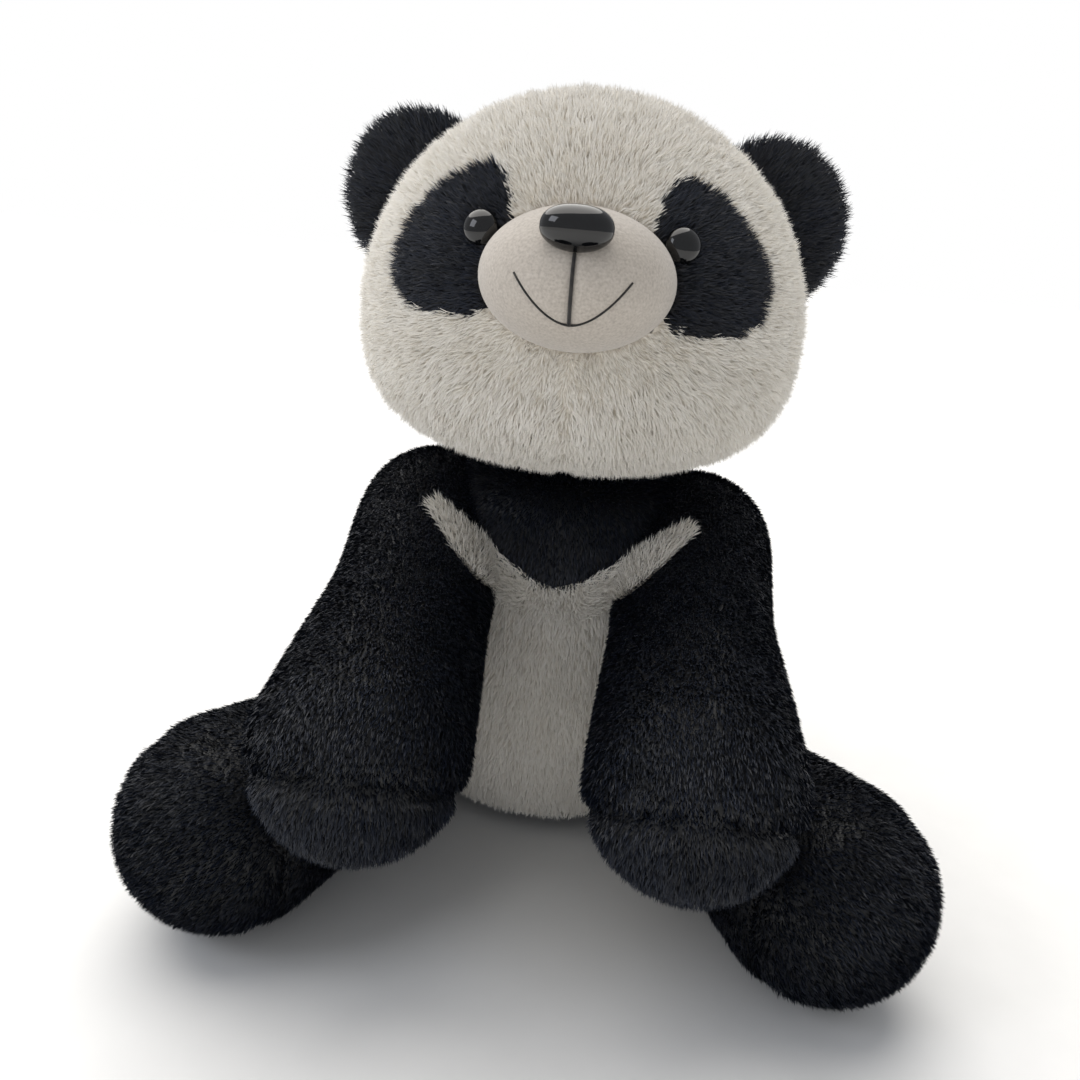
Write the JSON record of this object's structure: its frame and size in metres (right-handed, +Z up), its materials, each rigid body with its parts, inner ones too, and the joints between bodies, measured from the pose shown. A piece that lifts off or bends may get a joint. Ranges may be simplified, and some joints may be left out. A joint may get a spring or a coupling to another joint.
{
  "type": "plush panda",
  "caption": "Soft sitting panda toy: fur covers over stuffing, round head with muzzle and plastic eyes, arms stretched forward, legs splayed on the floor.",
  "frame": {"origin": "middle of the flat seat on the floor, between the hips", "axes": "+Z up, the panda looks along -Y, its own left side is +X"},
  "size_m": [0.3812, 0.3047, 0.391],
  "materials": {
    "cream_fur": "cream long-pile plush",
    "black_fur": "blue-black long-pile plush",
    "velour": "short-pile grey-beige velour",
    "fibre_filling": "loose polyester fibre",
    "black_thread": "embroidery thread",
    "black_plastic": "polished black",
    "washer_plastic": "moulded, natural white"
  },
  "bodies": {
    "torso": {"seat_panel": "black_fur", "belly_panel": "cream_fur", "chest_yoke": "black_fur", "left_back_panel": "black_fur", "right_back_panel": "black_fur", "torso_stuffing": "fibre_filling"},
    "neck": {"neck_stuffing": "fibre_filling"},
    "head": {"forehead_gusset": "cream_fur", "left_face_panel": "cream_fur", "left_head_back": "cream_fur", "left_eye_patch": "black_fur", "left_eye": "black_plastic", "left_eye_washer": "washer_plastic", "right_face_panel": "cream_fur", "right_head_back": "cream_fur", "right_eye_patch": "black_fur", "right_eye": "black_plastic", "right_eye_washer": "washer_plastic", "nose": "black_plastic", "nose_washer": "washer_plastic", "muzzle_cover": "velour", "head_stuffing": "fibre_filling", "philtrum_stitch": "black_thread", "smile_stitch": "black_thread"},
    "left_ear": {"left_ear_front": "black_fur", "left_ear_back": "black_fur", "left_ear_padding": "fibre_filling"},
    "right_ear": {"right_ear_front": "black_fur", "right_ear_back": "black_fur", "right_ear_padding": "fibre_filling"},
    "left_arm": {"left_arm_cover": "black_fur", "left_paw_sole": "black_fur", "left_arm_stuffing": "fibre_filling"},
    "right_arm": {"right_arm_cover": "black_fur", "right_paw_sole": "black_fur", "right_arm_stuffing": "fibre_filling"},
    "left_leg": {"left_leg_cover": "black_fur", "left_foot_sole": "black_fur", "left_leg_stuffing": "fibre_filling"},
    "right_leg": {"right_leg_cover": "black_fur", "right_foot_sole": "black_fur", "right_leg_stuffing": "fibre_filling"}
  },
  "joints": [
    {"name": "neck_turn", "type": "hinge", "parent": "torso", "child": "neck", "pos_m": [0, -0.002, 0.243], "axis": [0, 0, 1], "range_deg": [-25, 25], "stiffness_Nm_per_rad": 1},
    {"name": "head_nod", "type": "hinge", "parent": "neck", "child": "head", "pos_m": [0, -0.002, 0.243], "axis": [1, 0, 0], "range_deg": [-10, 12], "stiffness_Nm_per_rad": 2.5},
    {"name": "left_ear_fold", "type": "hinge", "parent": "head", "child": "left_ear", "pos_m": [0.09, 0.014, 0.336], "axis": [-0.4067, 0, 0.9135], "range_deg": [-15, 15], "stiffness_Nm_per_rad": 0.05},
    {"name": "left_arm_lift", "type": "hinge", "parent": "torso", "child": "left_arm", "pos_m": [0.072, 0.002, 0.16], "axis": [-0.7071, 0, 0.7071], "range_deg": [0, 45], "stiffness_Nm_per_rad": 0.3},
    {"name": "left_leg_splay", "type": "hinge", "parent": "torso", "child": "left_leg", "pos_m": [0.072, -0.014, 0.046], "axis": [0, 0, 1], "range_deg": [0, 20], "stiffness_Nm_per_rad": 0.4},
    {"name": "right_ear_fold", "type": "hinge", "parent": "head", "child": "right_ear", "pos_m": [-0.09, 0.014, 0.336], "axis": [-0.4067, 0, -0.9135], "range_deg": [-15, 15], "stiffness_Nm_per_rad": 0.05},
    {"name": "right_arm_lift", "type": "hinge", "parent": "torso", "child": "right_arm", "pos_m": [-0.072, 0.002, 0.16], "axis": [-0.7071, 0, -0.7071], "range_deg": [0, 45], "stiffness_Nm_per_rad": 0.3},
    {"name": "right_leg_splay", "type": "hinge", "parent": "torso", "child": "right_leg", "pos_m": [-0.072, -0.014, 0.046], "axis": [0, 0, -1], "range_deg": [0, 20], "stiffness_Nm_per_rad": 0.4}
  ]
}
